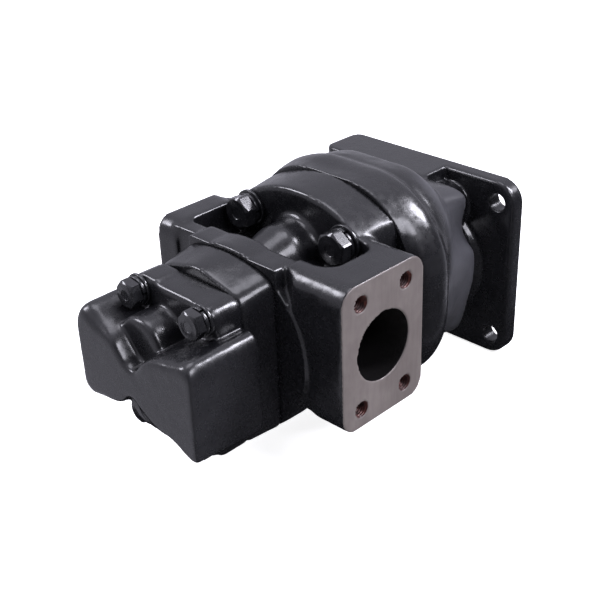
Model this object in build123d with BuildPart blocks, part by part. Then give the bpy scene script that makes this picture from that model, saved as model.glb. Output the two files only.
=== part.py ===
from build123d import *
import os
from math import pi, cos, sin, tan, acos, sqrt, radians

# Tandem hydraulic gear pump.
# Frame: +X runs along the drive shaft towards the drive end, +Z is up, the suction face is on the -Y side.
# Origin: shaft axis at the face of the mounting flange.  All dimensions in millimetres.

# ---------------------------------------------------------------- driving dimensions
# mounting flange and pilot
FLANGE, FLANGE_H = 145.0, 148.0   # flange width and height
FLANGE_T = 13.0
FLANGE_R = 18.0
HOLE_PITCH = 114.5        # four holes on a square
HOLE_R = 7.15
PILOT_R = 63.5
PILOT_L = 12.7

# joint planes along the shaft
X_JOINT = -136.0          # front housing / middle casting
X_PLATE = -168.5          # rear face of the middle casting's front plate
X_WALL = -212.0           # front face of the middle casting's rear wall
X_R1 = -232.8             # middle casting / rear gear housing
X_R2 = -259.8             # rear gear housing / rear cover
X_SEAT = -283.0           # bolt seats on the rear cover flange
X_END = -319.0            # end face of the rear cover

# front gear pair
FM, FZ, F_PA = 5.0, 12, 25.0
FC = 60.0                 # centre distance
F_CHAMBER_R = 35.1
F_GEAR_X0, F_GEAR_X1 = -120.95, -97.05
FJ_R = 17.5               # journals
X_CHAMBER = -82.0         # bottom of the gear chamber

# rear gear pair
RM, RZ, R_PA = 3.0, 11, 27.0
RC = 33.0
R_CHAMBER_R = 19.6
R_GEAR_X0, R_GEAR_X1 = -254.3, -238.3
RJ_R = 11.0

# ports
SUC_X, SUC_Z, SUC_Y, SUC_R = -192.0, 30.0, -99.5, 25.0
SUC_SX, SUC_SZ, SUC_HOLE = 42.9, 77.8, 6.0
OUT_X, OUT_Z, OUT_Y, OUT_R = -199.0, 30.0, 79.5, 12.5
OUT_SX, OUT_SZ, OUT_HOLE = 26.2, 52.4, 5.0
RO_X, RO_Z, RO_Y, RO_R = -290.0, 19.0, 57.5, 12.05

# fasteners
FB_Y, FB_Z = 45.4, (77.4, -17.4)      # M14 bolts through the middle casting
RB_Y, RB_Z = 31.0, (62.5, -27.5)      # M12 bolts through the rear cover
FDOWEL = ((50.0, 55.0), (-50.0, 5.0))
RDOWEL = ((30.0, 44.0), (-30.0, -12.0))

# shaft end
SHAFT_R = 15.875
SHAFT_END = 55.6
SEAL_R, BUSH_R = 26.0, 21.0

os.makedirs("parts", exist_ok=True)


def yz(x):
    """Section plane square to the shaft at station x."""
    return Plane.YZ.offset(x)


def at_y(y):
    """Plane facing -Y at the given y: local x is X, local y is Z."""
    return Plane.XZ.offset(-y)


def gear_outline(m, z, pa, thin, first):
    """Closed involute gear outline; the first tooth is centred on +Z turned by first degrees."""
    rp = m * z / 2
    a = radians(pa)
    rb, rt, rr = rp * cos(a), rp + 0.92 * m, rp - 1.22 * m
    inv = lambda t: tan(t) - t
    half_p = (pi * m / 2 - thin) / (2 * rp)
    lo = max(rb, rr)

    def half(r):
        return half_p + inv(a) - inv(acos(min(1.0, rb / r)))

    radii = [lo + (rt - lo) * (k / 7) for k in range(8)]
    pts = []
    for n in range(z):
        c = radians(first) + 2 * pi * n / z
        left = [(rr, half(lo) + 0.02)] + [(r, half(r)) for r in radii]
        for r, h in left:
            pts.append((r, c - h))
        for r, h in reversed(left):
            pts.append((r, c + h))
    # angle is counted from +Z (local y) so that the first tooth points up
    return [(-r * sin(t), r * cos(t)) for r, t in pts]


def spline_outline(r_out, r_in, w, n=6):
    """Straight-sided spline with n keys of width w."""
    pts = []
    for k in range(n):
        c = 2 * pi * k / n
        for r, s in ((r_in, -1), (r_out, -1), (r_out, 1), (r_in, 1)):
            d = acos(sqrt(1 - (w / 2 / r) ** 2)) * s
            pts.append((r * cos(c + d), r * sin(c + d)))
    return pts


def front_pair(r):
    """Two circles on the front gear centres."""
    with Locations((0, 0), (0, FC)):
        Circle(r)


def rear_pair(r):
    with Locations((0, 0), (0, RC)):
        Circle(r)


def front_seal_outline(e):
    front_pair(37.6 + e)
    with Locations((0, 30)):
        RectangleRounded(2 * (54 + e), 2 * (16 + e), 6 + e)


def rear_seal_outline(e):
    rear_pair(21.8 + e)
    with Locations((0, 17)):
        RectangleRounded(2 * (34.3 + e), 2 * (12 + e), 5 + e)


def plate_outline(hw, top, ear_z, ear_low):
    """Arched plate outline, mirrored about z = 30."""
    lo = lambda v: 60 - v
    with BuildLine() as outline:
        ThreePointArc((-hw + 3, ear_z), (0, top), (hw - 3, ear_z))
        Polyline((hw - 3, ear_z), (hw, ear_low), (hw, lo(ear_low)), (hw - 3, lo(ear_z)))
        ThreePointArc((hw - 3, lo(ear_z)), (0, lo(top)), (-hw + 3, lo(ear_z)))
        Polyline((-hw + 3, lo(ear_z)), (-hw, lo(ear_low)), (-hw, ear_low), (-hw + 3, ear_z))
    return outline.edges()


# ---------------------------------------------------------------- front housing
# Square flange, two-lobed neck over the gear shafts, large rounded body over the gear chamber.
BODY = (  # station x, half width, half height, corner radius, centre z
    (X_JOINT, 73.5, 79.6, 56.0, 25.0),
    (-127.0, 83.7, 80.1, 65.6, 24.4),
    (-116.0, 86.7, 82.1, 69.0, 24.1),
    (-108.0, 85.7, 81.6, 67.9, 24.1),
    (-98.0, 79.2, 76.1, 63.3, 23.1),
    (-90.0, 70.2, 68.1, 56.6, 22.1),
)
LOBE = (  # station x, width, height, corner radius, centre z
    (-FLANGE_T + 1, 63.0, 34.0, 15.0, 46.0),
    (-43.0, 74.0, 44.0, 18.0, 43.0),
    (-82.0, 138.0, 113.0, 50.0, 44.0),
    (-99.0, 158.0, 121.0, 60.0, 42.0),
)
BARREL_RIM = ((0, -55), (18, -55), (31, -54), (40.5, -49.5), (46.5, -39), (51.5, -18), (55.5, 0), (56.3, 14), (54, 26), (48.5, 31),
              (44.6, 37), (43.4, 45), (44.8, 54), (46.2, 61), (44.6, 67), (37, 70.5), (18, 71.5), (0, 71.5))
BARREL_BODY = ((0, -44), (20, -43.5), (36, -39.5), (50, -30), (60, -17), (65.5, -3), (68, 12), (68.6, 24), (68, 33), (66.5, 40),
               (64.5, 47), (62, 54), (58.5, 62), (54, 69), (47, 76.5), (36, 83), (18, 87), (0, 87.5))


def mirrored(half):
    """Closed outline through the given points and their mirror images in y."""
    with BuildLine() as outline:
        Spline(*half, *[(-a, b) for a, b in half[-2:0:-1]], periodic=True)
    return outline.edges()


PAD_Z0, PAD_Z1 = 62.5, 74.0
with BuildPart() as front_housing:
    with BuildSketch(yz(-FLANGE_T)):
        RectangleRounded(FLANGE, FLANGE_H, FLANGE_R)
    extrude(amount=FLANGE_T)
    fillet(front_housing.faces().sort_by(Axis.X)[0].edges(), 2.5)
    fillet(front_housing.faces().sort_by(Axis.X)[-1].edges(), 1.2)
    # body over the gear chamber
    for (x0, w0, h0, r0, c0), (x1, w1, h1, r1, c1) in zip(BODY[:-1], BODY[1:]):
        with BuildSketch(yz(x0)):
            with Locations((0, c0)):
                RectangleRounded(2 * w0, 2 * h0, r0)
        with BuildSketch(yz(x1)):
            with Locations((0, c1)):
                RectangleRounded(2 * w1, 2 * h1, r1)
        loft(ruled=True)
    # lower neck lobe round the drive shaft
    with BuildSketch(yz(-FLANGE_T + 1)):
        with Locations((0, -2)):
            Circle(41)
    with BuildSketch(yz(-92)):
        with Locations((0, 13)):
            Circle(65)
    loft()
    # outer barrel of the neck: stands clear of the flange behind a sharp rim, waisted at the sides for a wrench
    with BuildSketch(yz(-88)):
        make_face(mirrored(BARREL_BODY))
    with BuildSketch(yz(-36)):
        make_face(mirrored(BARREL_RIM))
    loft(ruled=True)
    # raised ring round the root of the neck
    with BuildSketch(yz(-FLANGE_T + 1)):
        with Locations((0, -3)):
            Circle(46)
    extrude(amount=-4)
    # upper neck lobe round the driven gear shaft: low under the pad, then rising to the chamber wall
    for (x0, w0, h0, r0, c0), (x1, w1, h1, r1, c1) in zip(LOBE[:-1], LOBE[1:]):
        with BuildSketch(yz(x0)):
            with Locations((0, c0)):
                RectangleRounded(w0, h0, r0)
        with BuildSketch(yz(x1)):
            with Locations((0, c1)):
                RectangleRounded(w1, h1, r1)
        loft(ruled=True)
    # flat pad along the top of the flange, with the web that ties it to the neck
    with BuildSketch(Plane.XY.offset(PAD_Z0)):
        with Locations((-20, 44)):
            pad = Rectangle(40, 104)
        fillet(pad.vertices().sort_by(Axis.Y)[-2:], 9)
        fillet(pad.vertices().sort_by(Axis.Y)[:2], 2)
    extrude(amount=PAD_Z1 - PAD_Z0)
    fillet(front_housing.faces().filter_by(Axis.Z).sort_by(Axis.Z)[-1].edges(), 1.0)
    with BuildSketch(Plane.XY.offset(PAD_Z0 + 1)):
        with Locations((-20, 12)):
            RectangleRounded(34, 50, 6)
    extrude(amount=-20)
    # pilot
    with BuildSketch(yz(-1)):
        Circle(PILOT_R)
    extrude(amount=PILOT_L + 1)
    chamfer(front_housing.faces().sort_by(Axis.X)[-1].edges(), 1.2)
    # mounting holes, and room for the bolt head under the pad
    with BuildSketch(yz(-FLANGE_T - 1)):
        with GridLocations(HOLE_PITCH, HOLE_PITCH, 2, 2):
            Circle(HOLE_R)
    extrude(amount=FLANGE_T + 2, mode=Mode.SUBTRACT)
    with BuildSketch(yz(-FLANGE_T)):
        with Locations((HOLE_PITCH / 2, HOLE_PITCH / 2)):
            Circle(13.0)
    extrude(amount=-40, mode=Mode.SUBTRACT)
    # gear chamber with its suction and delivery galleries
    with BuildSketch(yz(X_JOINT - 1)):
        front_pair(F_CHAMBER_R)
    extrude(amount=X_CHAMBER - X_JOINT + 1, mode=Mode.SUBTRACT)
    with BuildSketch(yz(X_JOINT - 1)):
        with Locations((-34, 30), (34, 30)):
            RectangleRounded(38, 28, 8)
    extrude(amount=39, mode=Mode.SUBTRACT)
    # shaft bore, bush bore, seal bore, retaining ring groove
    for x0, x1, r in ((X_CHAMBER - 1, -44, FJ_R + 1.2), (-45, -1, BUSH_R), (-2, PILOT_L + 1, SEAL_R), (9.2, 10.8, 27.5)):
        with BuildSketch(yz(x0)):
            Circle(r)
        extrude(amount=x1 - x0, mode=Mode.SUBTRACT)
    # tapped holes and dowel holes in the joint face
    with BuildSketch(yz(X_JOINT - 1)):
        with Locations(*[(s * FB_Y, z) for s in (-1, 1) for z in FB_Z]):
            Circle(7.0)
    extrude(amount=33, mode=Mode.SUBTRACT)
    with BuildSketch(yz(X_JOINT - 1)):
        with Locations(*FDOWEL):
            Circle(4.0)
    extrude(amount=13, mode=Mode.SUBTRACT)
front_housing.part.label = "front_housing"
export_step(front_housing.part, "parts/front_housing.step")

# ---------------------------------------------------------------- middle casting
# Suction arm: a block with rounded long edges, trimmed to its outline seen from above, so the pockets stay open.
with BuildPart() as suction_arm:
    with BuildSketch(at_y(SUC_Y)):
        with Locations((SUC_X, SUC_Z)):
            RectangleRounded(78.5, 106.5, 13)
    extrude(amount=-55)
    with BuildSketch(Plane.XY.offset(-30)):
        with BuildLine():
            Polyline((-233, -101), (-233, -60), (-228, -54), (-224, -46), (X_WALL, -46), (X_WALL, -60), (-210, -66), (-204, -72),
                     (-180, -72), (-173, -70), (-169.5, -66), (-168.4, -62), (-168.4, -46), (-150, -46), (-150, -101), close=True)
        make_face()
    extrude(amount=125, mode=Mode.INTERSECT)
    with BuildSketch(Plane.XY.offset(-30)):
        with BuildLine():
            Polyline((-233, -70), (-205, -70), (-205, -40), (-233, -40), close=True)
        make_face()
    extrude(amount=14, mode=Mode.SUBTRACT)

# Front plate, open wrench pockets above and below a cross passage, suction arm (-Y), delivery arm (+Y), rear wall.
with BuildPart() as middle_casting:
    # arched front plate with cast draft
    with BuildSketch(yz(X_PLATE)):
        make_face(plate_outline(59.0, 102.7, 84.0, 77.0))
    with BuildSketch(yz(X_JOINT)):
        make_face(plate_outline(63.0, 104.6, 86.0, 79.0))
    loft(ruled=True)
    # rear wall: bar across the top, round lower part
    with BuildSketch(yz(X_R1)):
        with Locations((-2.2, 46.3)):
            RectangleRounded(84.4, 70, 3.5)
        with Locations((0, 16)):
            Circle(68)
    extrude(amount=X_WALL - X_R1)
    # cross passage between the two arms
    with BuildSketch(at_y(OUT_Y - 2)):
        with Locations((SUC_X, SUC_Z)):
            Circle(32)
    extrude(amount=OUT_Y - 2 - (SUC_Y + 2))
    # suction arm: port slab, its full-height rear block and its front web
    add(suction_arm.part)
    # delivery arm: port slab and its webs
    with BuildSketch(at_y(OUT_Y)):
        with Locations((OUT_X, OUT_Z)):
            RectangleRounded(58, 100, 12)
        with Locations((OUT_X + 4, OUT_Z)):
            RectangleRounded(58, 100, 12)
    extrude(amount=OUT_Y - 60)
    with BuildSketch(Plane.XY.offset(-16)):
        with BuildLine():
            Polyline((-226, 65), (-224, 30), (X_WALL, 30), (X_WALL, 65), close=True)
        make_face()
        with BuildLine():
            Polyline((-171, 75), (-160, 62), (-160, 50), (-168.4, 50), (-168.4, 61), (-176, 64), (-176, 75), close=True)
        make_face()
    extrude(amount=94)
    # boss on the driven gear axis, running back under the bar
    with BuildSketch(yz(X_PLATE + 1)):
        with Locations((0, 58)):
            Circle(27)
    with BuildSketch(yz(X_PLATE - 4)):
        with Locations((0, 58)):
            Circle(24)
    loft()
    with BuildSketch(yz(X_PLATE - 4)):
        with Locations((0, 58)):
            Circle(24)
    extrude(amount=-15)
    with BuildSketch(yz(X_PLATE - 19)):
        with Locations((0, 58)):
            Circle(24)
    with BuildSketch(yz(X_WALL - 1)):
        with Locations((0, 55)):
            Circle(18)
    loft()
    # tube round the coupling shaft
    with BuildSketch(yz(X_WALL - 1)):
        Circle(26)
    extrude(amount=X_PLATE - X_WALL + 2)
    # coupling bore and bush bores
    with BuildSketch(yz(X_JOINT + 1)):
        Circle(20)
    extrude(amount=-(X_JOINT + 1 + 214), mode=Mode.SUBTRACT)
    with BuildSketch(yz(X_R1 - 1)):
        rear_pair(14.0)
    extrude(amount=19.8, mode=Mode.SUBTRACT)
    # suction bore and its two passages
    with BuildSketch(at_y(SUC_Y - 1)):
        with Locations((SUC_X, SUC_Z)):
            Circle(SUC_R)
    extrude(amount=-76.5, mode=Mode.SUBTRACT)
    with BuildSketch(yz(X_JOINT + 1)):
        with Locations((-40, 30)):
            Circle(12)
    extrude(amount=-50, mode=Mode.SUBTRACT)
    with BuildSketch(yz(X_R1 - 1)):
        with Locations((-25, 18)):
            Circle(6.5)
    extrude(amount=36, mode=Mode.SUBTRACT)
    # delivery bore and its passage
    with BuildSketch(at_y(OUT_Y + 1)):
        with Locations((OUT_X, OUT_Z)):
            Circle(OUT_R)
    extrude(amount=OUT_Y + 1 - 29, mode=Mode.SUBTRACT)
    with BuildSketch(yz(X_JOINT + 1)):
        with Locations((40, 30)):
            Circle(11)
    extrude(amount=-62, mode=Mode.SUBTRACT)
    # tapped port holes
    with BuildSketch(at_y(SUC_Y - 1)):
        with Locations((SUC_X, SUC_Z)):
            with GridLocations(SUC_SX, SUC_SZ, 2, 2):
                Circle(SUC_HOLE)
    extrude(amount=-25, mode=Mode.SUBTRACT)
    with BuildSketch(at_y(OUT_Y + 1)):
        with Locations((OUT_X, OUT_Z)):
            with GridLocations(OUT_SX, OUT_SZ, 2, 2):
                Circle(OUT_HOLE)
    extrude(amount=18, mode=Mode.SUBTRACT)
    # bolt clearance holes, dowel holes
    with BuildSketch(yz(X_PLATE - 1)):
        with Locations(*[(s * FB_Y, z) for s in (-1, 1) for z in FB_Z]):
            Circle(7.5)
    extrude(amount=X_JOINT - X_PLATE + 2, mode=Mode.SUBTRACT)
    with BuildSketch(yz(X_JOINT + 1)):
        with Locations(*FDOWEL):
            Circle(4.0)
    extrude(amount=-13, mode=Mode.SUBTRACT)
    with BuildSketch(yz(X_R1 - 1)):
        with Locations(*[(s * RB_Y, z) for s in (-1, 1) for z in RB_Z]):
            Circle(6.0)
        with Locations(*RDOWEL):
            Circle(3.0)
    extrude(amount=18, mode=Mode.SUBTRACT)
    # seal grooves in both joint faces
    with BuildSketch(yz(X_JOINT + 1)):
        front_seal_outline(1.5)
        with BuildSketch(mode=Mode.SUBTRACT):
            front_seal_outline(-1.5)
    extrude(amount=-3.2, mode=Mode.SUBTRACT)
    with BuildSketch(yz(X_R1 - 1)):
        rear_seal_outline(1.2)
        with BuildSketch(mode=Mode.SUBTRACT):
            rear_seal_outline(-1.2)
    extrude(amount=2.9, mode=Mode.SUBTRACT)
middle_casting.part.label = "middle_casting"
export_step(middle_casting.part, "parts/middle_casting.step")

# ---------------------------------------------------------------- rear gear housing
RG_REAR = ((41.3, 56), (40.3, 62), (37.8, 66.8), (33, 70.4), (26, 72.9), (18, 75.4), (10, 77.8), (1.5, 79), (-7, 77.8), (-13.5, 75.9),
           (-21, 73.8), (-29, 71.9), (-35, 69.3), (-38.6, 65.6), (-40.6, 61.2), (-41.3, 55))
RG_FRONT = ((43.6, 57), (43.2, 64), (41.8, 69.6), (38.5, 73.8), (32, 76.6), (23, 78.9), (12, 80.6), (1.5, 81), (-8, 80.7), (-15.5, 79.8),
            (-24, 78.3), (-32, 76.6), (-38, 74.4), (-41.8, 71.4), (-43.4, 66.6), (-44, 58))


def housing_outline(x, inset=0.0):
    """Closed outline at station x: domed top, straight sides, shallow arched underside; inset gives the bevelled ends."""
    t = (x - X_R2) / (X_R1 - X_R2)
    ky, kz = 1 - inset / 42, 1 - inset / 60
    top = [((a + (c - a) * t) * ky, 18 + (b + (d - b) * t - 18) * kz) for (a, b), (c, d) in zip(RG_REAR, RG_FRONT)]
    w, v = top[0][0], -top[-1][0]
    low = [(-v, -33), (-v + 2.6, -38.6), (-v + 8, -41.2), (0, -44.5), (w - 8, -41.2), (w - 2.6, -38.6), (w, -33)]
    low = [(a, 18 + (b - 18) * kz) for a, b in low]
    with BuildLine() as outline:
        Spline(*top)
        Line(top[-1], low[0])
        Spline(*low)
        Line(low[-1], top[0])
    return outline.edges()


with BuildPart() as rear_gear_housing:
    for x0, e0, x1, e1 in ((X_R2, 1.2, X_R2 + 1.2, 0.0), (X_R2 + 1.2, 0.0, X_R1 - 1.2, 0.0), (X_R1 - 1.2, 0.0, X_R1, 1.2)):
        with BuildSketch(yz(x0)):
            make_face(housing_outline(x0, e0))
        with BuildSketch(yz(x1)):
            make_face(housing_outline(x1, e1))
        loft(ruled=True)
    with BuildSketch(yz(X_R2 - 1)):
        rear_pair(R_CHAMBER_R)
        with Locations((-20.5, 17), (20.5, 17)):
            RectangleRounded(25, 20, 5)
    extrude(amount=X_R1 - X_R2 + 2, mode=Mode.SUBTRACT)
    with BuildSketch(yz(X_R2 - 1)):
        with Locations(*[(s * RB_Y, z) for s in (-1, 1) for z in RB_Z]):
            Circle(6.4)
        with Locations(*RDOWEL):
            Circle(3.0)
    extrude(amount=X_R1 - X_R2 + 2, mode=Mode.SUBTRACT)
rear_gear_housing.part.label = "rear_gear_housing"
export_step(rear_gear_housing.part, "parts/rear_gear_housing.step")

# ---------------------------------------------------------------- rear cover
# outline of the end face, and the fuller outline of the block behind its rounded edge
LOBE_TOP = ((57.2, 38), (55.5, 44.5), (49.5, 50.4), (43.4, 48.6), (35, 45), (21, 41.3), (13, 33.8), (6, 28.2), (0.5, 27.4),
            (-4.8, 32), (-11, 38), (-19.4, 42), (-28.6, 44.3), (-36, 45.6), (-45, 48), (-51, 48.4), (-55.6, 45), (-57.2, 38))
LOBE_TOP_FULL = ((57.2, 42), (56.4, 51.5), (50.5, 57.2), (43.4, 55.8), (35, 51), (21, 44.2), (13, 35.4), (6, 29.2), (0.5, 28.2),
                 (-4.8, 33.4), (-11, 40), (-19.4, 44.6), (-28.6, 47.4), (-36, 49), (-45, 51.6), (-51.2, 52.2), (-56.3, 47.5), (-57.2, 40))
LOBE_LOW = ((-57.2, -11), (-56.2, -15.2), (-52, -15.8), (-46.2, -14.0), (-39, -10.6), (-31.2, -8.2), (-23, -7.6), (-15, -4.9), (-8.5, -1.2),
            (-2.5, 2.6), (4.6, 6.0), (8.9, 4.2), (14, -0.2), (22, -4.6), (33.5, -6.3), (43.5, -8.2), (51, -8.4), (55.6, -5.5), (57.2, 0))
# the underside further back: a third lobe shows below the step in the end face, and the whole is drafted downwards
LOBE_LOW_STEP = ((-57.2, -12), (-56.4, -16.2), (-52, -16.6), (-46.2, -14.8), (-38.7, -11.2), (-31.2, -8.9), (-21, -9.6), (-10.4, -9.8), (-3.6, -7.0),
                 (1.4, -1.6), (5.4, 4.6), (8.9, 4.0), (14, -0.6), (22, -5.0), (33.5, -6.7), (43.5, -8.6), (51, -8.8), (55.6, -5.9), (57.2, 0))
LOBE_LOW_REAR = ((-57.2, -15), (-56.2, -19.2), (-51, -19.8), (-45, -17.6), (-38.7, -13.6), (-31.2, -11.2), (-21, -11.6), (-10.4, -12.0), (-3.6, -10.0),
                 (1.4, -4.6), (5.4, 1.6), (8.9, 1.0), (14, -2.6), (22, -6.6), (33.5, -8.4), (43.5, -10.2), (51, -10.6), (55.6, -7.5), (57.2, -2))



def end_block(t, low):
    """Closed outline of the lobed end block, t = 0 at the end face, 1 where its rounded edge has run out."""
    top = [(a + (c - a) * t, b + (d - b) * t) for (a, b), (c, d) in zip(LOBE_TOP, LOBE_TOP_FULL)]
    with BuildLine() as outline:
        Spline(*top)
        Line(top[-1], low[0])
        Spline(*low)
        Line(low[-1], top[0])
    return outline.edges()


with BuildPart() as rear_cover:
    with BuildSketch(yz(X_SEAT)):
        with BuildLine():
            ThreePointArc((-41.4, 71.2), (0, 71.6), (41.4, 71.2))
            Line((41.4, 71.2), (41.4, -40.5))
            ThreePointArc((41.4, -40.5), (0, -42.5), (-41.4, -40.5))
            Line((-41.4, -40.5), (-41.4, 71.2))
        make_face()
    extrude(amount=X_R2 - X_SEAT)
    fillet(rear_cover.edges().filter_by(Axis.X), 10)
    fillet(rear_cover.faces().sort_by(Axis.X)[0].edges(), 2.5)
    chamfer(rear_cover.faces().sort_by(Axis.X)[-1].edges(), 1.2)
    # low raised area on one side of the top
    with BuildSketch(yz(X_SEAT + 1.5)):
        with BuildLine():
            Polyline((14.5, 68), (14.5, 72.0), (16, 73.2), (30, 73.4), (36.4, 70.6), (36.4, 68), close=True)
        make_face()
    extrude(amount=X_R2 - X_SEAT - 3.0)
    # bolt ears
    with BuildSketch(yz(X_SEAT)):
        with Locations(*[(s * RB_Y, z) for s in (-1, 1) for z in RB_Z]):
            Circle(8.7)
    extrude(amount=12)
    # two-lobed end block with a rounded edge round its end face
    for x0, t0, low0, x1, t1, low1 in ((X_END, 0.0, LOBE_LOW, X_END + 2.2, 0.62, LOBE_LOW),
                                       (X_END + 2.2, 0.62, LOBE_LOW_STEP, X_END + 7, 1.0, LOBE_LOW_STEP),
                                       (X_END + 7, 1.0, LOBE_LOW_STEP, X_R2 - 1.2, 1.0, LOBE_LOW_REAR)):
        with BuildSketch(yz(x0)):
            make_face(end_block(t0, low0))
        with BuildSketch(yz(x1)):
            make_face(end_block(t1, low1))
        loft(ruled=True)
    # boss on the driven gear axis, its end set back in the notch of the end block
    with BuildSketch(yz(X_SEAT + 2)):
        with Locations((8, 36)):
            Circle(21.5)
    extrude(amount=-22.5)
    with BuildSketch(yz(X_SEAT - 20.5)):
        with Locations((8, 36)):
            Circle(21.5)
    extrude(amount=-2.2, taper=45)
    # boss on the drive shaft axis, under the end block
    with BuildSketch(yz(X_SEAT + 2)):
        Circle(19)
    extrude(amount=-25)
    with BuildSketch(yz(X_SEAT - 23)):
        Circle(19)
    extrude(amount=-7, taper=35)
    # bush bores
    with BuildSketch(yz(X_R2 + 1)):
        rear_pair(14.0)
    extrude(amount=-19.5, mode=Mode.SUBTRACT)
    # delivery passage and port
    with BuildSketch(yz(X_R2 + 1)):
        with Locations((25, 17)):
            Circle(6.5)
    extrude(amount=-33, mode=Mode.SUBTRACT)
    with BuildSketch(at_y(RO_Y + 1)):
        with Locations((RO_X, RO_Z)):
            Circle(RO_R)
    extrude(amount=20, mode=Mode.SUBTRACT)
    with BuildSketch(at_y(RO_Y + 1)):
        with Locations((RO_X, RO_Z)):
            Circle(9.0)
    extrude(amount=38, mode=Mode.SUBTRACT)
    # bolt holes, dowel holes, seal groove
    with BuildSketch(yz(X_R2 + 1)):
        with Locations(*[(s * RB_Y, z) for s in (-1, 1) for z in RB_Z]):
            Circle(6.4)
    extrude(amount=-(X_R2 - X_SEAT + 2), mode=Mode.SUBTRACT)
    with BuildSketch(yz(X_R2 + 1)):
        with Locations(*RDOWEL):
            Circle(3.0)
    extrude(amount=-11, mode=Mode.SUBTRACT)
    with BuildSketch(yz(X_R2 + 1)):
        rear_seal_outline(1.2)
        with BuildSketch(mode=Mode.SUBTRACT):
            rear_seal_outline(-1.2)
    extrude(amount=-2.9, mode=Mode.SUBTRACT)
rear_cover.part.label = "rear_cover"
export_step(rear_cover.part, "parts/rear_cover.step")

# ---------------------------------------------------------------- fasteners
FB_AT = [(s * FB_Y, z) for s in (-1, 1) for z in FB_Z]
RB_AT = [(s * RB_Y, z) for s in (-1, 1) for z in RB_Z]

# M14 bolts: flat washer 2.5, spring washer 3.5, head 9.3
with BuildPart() as front_bolts:
    with BuildSketch(yz(X_PLATE - 6)):
        with Locations(*FB_AT):
            RegularPolygon(12.7, 6, rotation=12)
    extrude(amount=-9.3)
    chamfer(front_bolts.faces().group_by(Axis.X)[0].edges(), 0.9)
    with BuildSketch(yz(X_PLATE - 6)):
        with Locations(*FB_AT):
            Circle(6.95)
    extrude(amount=6 + (X_JOINT - X_PLATE) + 30)
    with BuildSketch(yz(X_PLATE - 15.3)):
        with Locations(*FB_AT):
            Circle(5.6)
            Circle(4.6, mode=Mode.SUBTRACT)
    extrude(amount=-0.35)
front_bolts.part.label = "front_bolts"
export_step(front_bolts.part, "parts/front_bolts.step")

with BuildPart() as front_bolt_spring_washers:
    with BuildSketch(yz(X_PLATE - 2.5)):
        with Locations(*FB_AT):
            Circle(11.6)
            Circle(7.2, mode=Mode.SUBTRACT)
    extrude(amount=-3.5)
front_bolt_spring_washers.part.label = "front_bolt_spring_washers"
export_step(front_bolt_spring_washers.part, "parts/front_bolt_spring_washers.step")

with BuildPart() as front_bolt_flat_washers:
    with BuildSketch(yz(X_PLATE)):
        with Locations(*FB_AT):
            Circle(13.4)
            Circle(7.4, mode=Mode.SUBTRACT)
    extrude(amount=-2.5)
front_bolt_flat_washers.part.label = "front_bolt_flat_washers"
export_step(front_bolt_flat_washers.part, "parts/front_bolt_flat_washers.step")

# M12 bolts: flat washer 2.3, spring washer 3, head 7.6
with BuildPart() as rear_bolts:
    with BuildSketch(yz(X_SEAT - 5.3)):
        with Locations(*RB_AT):
            RegularPolygon(10.4, 6, rotation=5)
    extrude(amount=-7.6)
    chamfer(rear_bolts.faces().group_by(Axis.X)[0].edges(), 0.8)
    with BuildSketch(yz(X_SEAT - 5.3)):
        with Locations(*RB_AT):
            Circle(5.95)
    extrude(amount=5.3 + (X_R1 - X_SEAT) + 16)
    with BuildSketch(yz(X_SEAT - 12.9)):
        with Locations(*RB_AT):
            Circle(4.8)
            Circle(3.9, mode=Mode.SUBTRACT)
    extrude(amount=-0.3)
rear_bolts.part.label = "rear_bolts"
export_step(rear_bolts.part, "parts/rear_bolts.step")

with BuildPart() as rear_bolt_spring_washers:
    with BuildSketch(yz(X_SEAT - 2.3)):
        with Locations(*RB_AT):
            Circle(10.0)
            Circle(6.2, mode=Mode.SUBTRACT)
    extrude(amount=-3.0)
rear_bolt_spring_washers.part.label = "rear_bolt_spring_washers"
export_step(rear_bolt_spring_washers.part, "parts/rear_bolt_spring_washers.step")

with BuildPart() as rear_bolt_flat_washers:
    with BuildSketch(yz(X_SEAT)):
        with Locations(*RB_AT):
            Circle(11.0)
            Circle(6.3, mode=Mode.SUBTRACT)
    extrude(amount=-2.3)
rear_bolt_flat_washers.part.label = "rear_bolt_flat_washers"
export_step(rear_bolt_flat_washers.part, "parts/rear_bolt_flat_washers.step")

with BuildPart() as front_dowels:
    with BuildSketch(yz(X_JOINT - 11.5)):
        with Locations(*FDOWEL):
            Circle(3.99)
    extrude(amount=23)
front_dowels.part.label = "front_dowels"
export_step(front_dowels.part, "parts/front_dowels.step")

with BuildPart() as rear_dowels:
    with BuildSketch(yz(X_R2 - 9.5)):
        with Locations(*RDOWEL):
            Circle(2.99)
    extrude(amount=X_R1 - X_R2 + 9.5 + 16)
rear_dowels.part.label = "rear_dowels"
export_step(rear_dowels.part, "parts/rear_dowels.step")

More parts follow.
